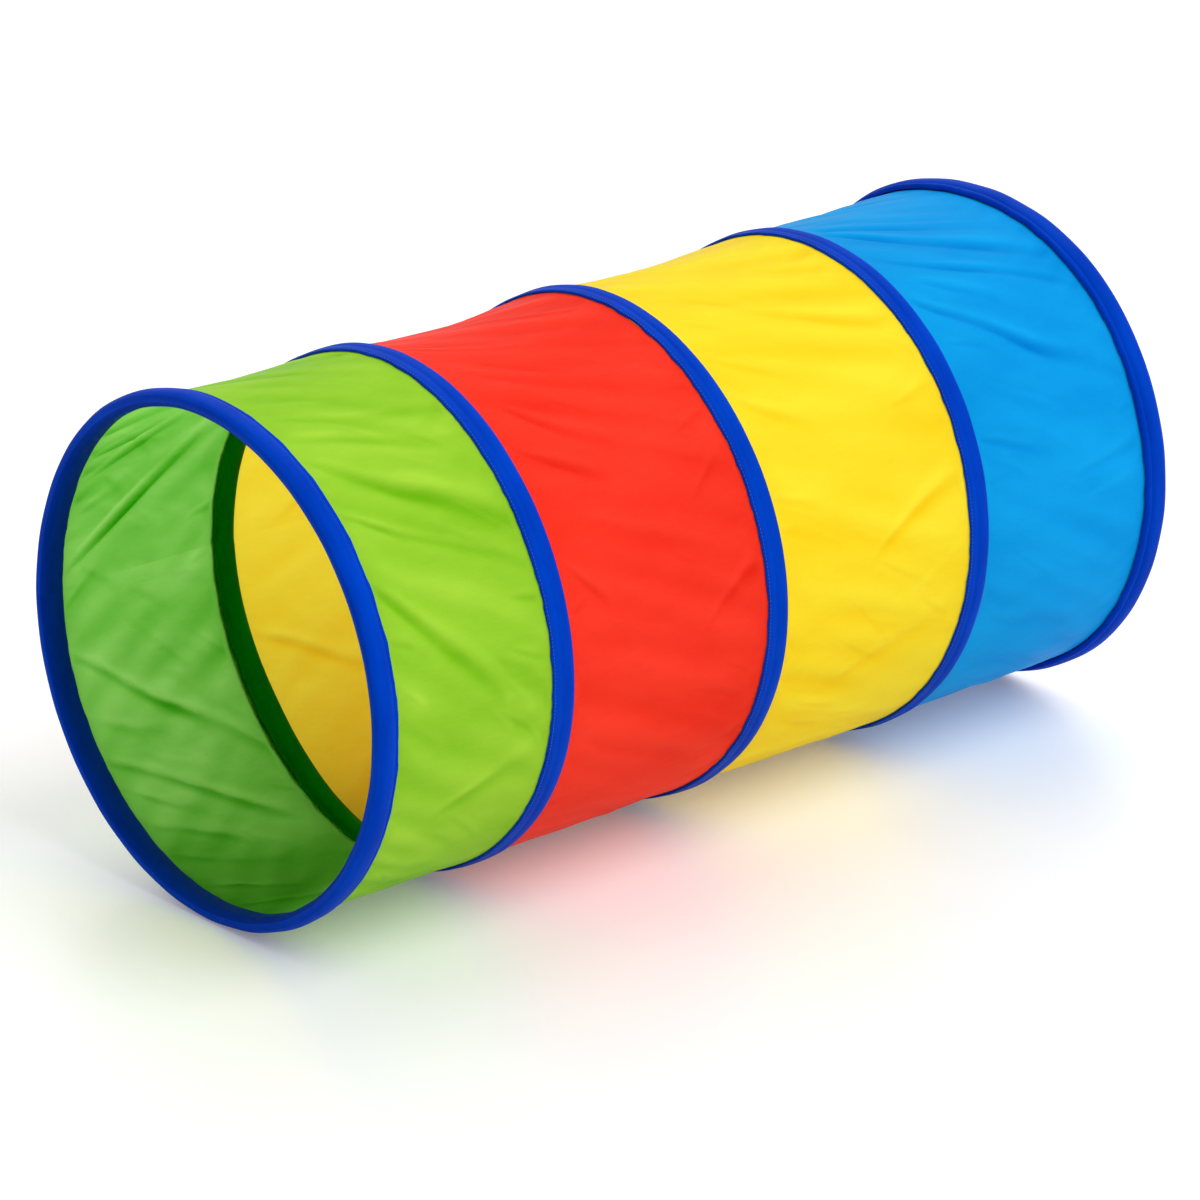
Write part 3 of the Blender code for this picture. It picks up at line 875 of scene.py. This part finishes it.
def make_floor():
    """A pale glossy floor. What the camera sees of it gets a little white on top."""
    g = Graph("pale studio floor")
    place = g.add("TexCoord").outputs["Object"]
    cloud = g.noise(place, 3.0, 3)
    patches = g.fit(cloud, 0.3, 0.7, 0.0, 1.0)
    floor = g.add("BsdfPrincipled", {
        "Base Color": g.blend(patches, (0.87, 0.87, 0.875, 1), (0.89, 0.89, 0.89, 1)),
        "Roughness": g.fit(cloud, 0.3, 0.7, 0.37, 0.41), "Specular IOR Level": 0.7,
    })
    rays = g.add("LightPath").outputs
    seen = g.math("MAXIMUM", rays["Is Camera Ray"], rays["Is Glossy Ray"])
    seen = g.math("MAXIMUM", seen, rays["Is Transmission Ray"])
    glow = g.math("MULTIPLY", seen, FLOOR_GLOW)
    white = g.add("Emission", {"Color": (1, 1, 1, 1), "Strength": glow})
    both = g.add("AddShader", {0: floor.outputs[0], 1: white.outputs[0]})
    material = g.finish(both.outputs[0])
    mesh = bpy.data.meshes.new("floor")
    signs = ((-1, -1), (1, -1), (1, 1), (-1, 1))
    corners = [(x * FLOOR_SIZE, y * FLOOR_SIZE, FLOOR_LEVEL) for x, y in signs]
    mesh.from_pydata(corners, [], [(0, 1, 2, 3)])
    mesh.materials.append(material)
    place_in_scene("floor", mesh)


def make_world():
    """An even white room, which lights the tunnel less than it shows behind it."""
    world = bpy.data.worlds.new("white room")
    bpy.context.scene.world = world
    world.use_nodes = True
    tree = world.node_tree
    back = tree.nodes["Background"]
    back.inputs["Color"].default_value = (1, 1, 1, 1)
    rays = tree.nodes.new("ShaderNodeLightPath").outputs
    seen = rays["Is Camera Ray"]
    for kind in ("Is Glossy Ray", "Is Transmission Ray"):
        either = tree.nodes.new("ShaderNodeMath")
        either.operation = "MAXIMUM"
        tree.links.new(seen, either.inputs[0])
        tree.links.new(rays[kind], either.inputs[1])
        seen = either.outputs[0]
    level = tree.nodes.new("ShaderNodeMapRange")
    level.inputs["To Min"].default_value = ROOM_LIGHT
    level.inputs["To Max"].default_value = 1.0
    tree.links.new(seen, level.inputs["Value"])
    tree.links.new(level.outputs[0], back.inputs["Strength"])


def add_sun(name, place, strength, spread):
    """A soft even light from a direction. spread is its width in degrees."""
    data = bpy.data.lights.new(name, "SUN")
    data.energy = strength
    data.angle = radians(spread)
    light = place_in_scene(name, data)
    light.rotation_mode = "QUATERNION"
    light.rotation_quaternion = (-Vector(place)).to_track_quat("-Z", "Y")


def make_camera():
    """The camera that was fitted to the edges of all five rings in the photograph."""
    azimuth, elevation = radians(-41.506), radians(20.791)
    back = Vector((sin(azimuth) * cos(elevation), -cos(azimuth) * cos(elevation), sin(elevation)))
    right = Vector((cos(azimuth), sin(azimuth), 0))
    up = back.cross(right)
    middle, scale = Vector((-0.0043, 0, 0.2372)), 0.234
    place = middle + scale * (-0.031 * right - 0.228 * up + 26.158 * back)
    data = bpy.data.cameras.new("camera")
    data.sensor_width, data.lens = 36.0, 205.19
    data.clip_start, data.clip_end = 0.1, 60
    camera = place_in_scene("camera", data)
    axes = Matrix((right, up, back)).transposed()
    camera.matrix_world = Matrix.Translation(place) @ axes.to_4x4()
    bpy.context.scene.camera = camera


make_floor()
make_world()
add_sun("side softbox", (0.45, -1.1, 1.35), 1.85, 50)
add_sun("top softbox", (0.8, 1.0, 1.7), 0.80, 55)
make_camera()
bpy.context.scene.view_settings.view_transform = "Standard"
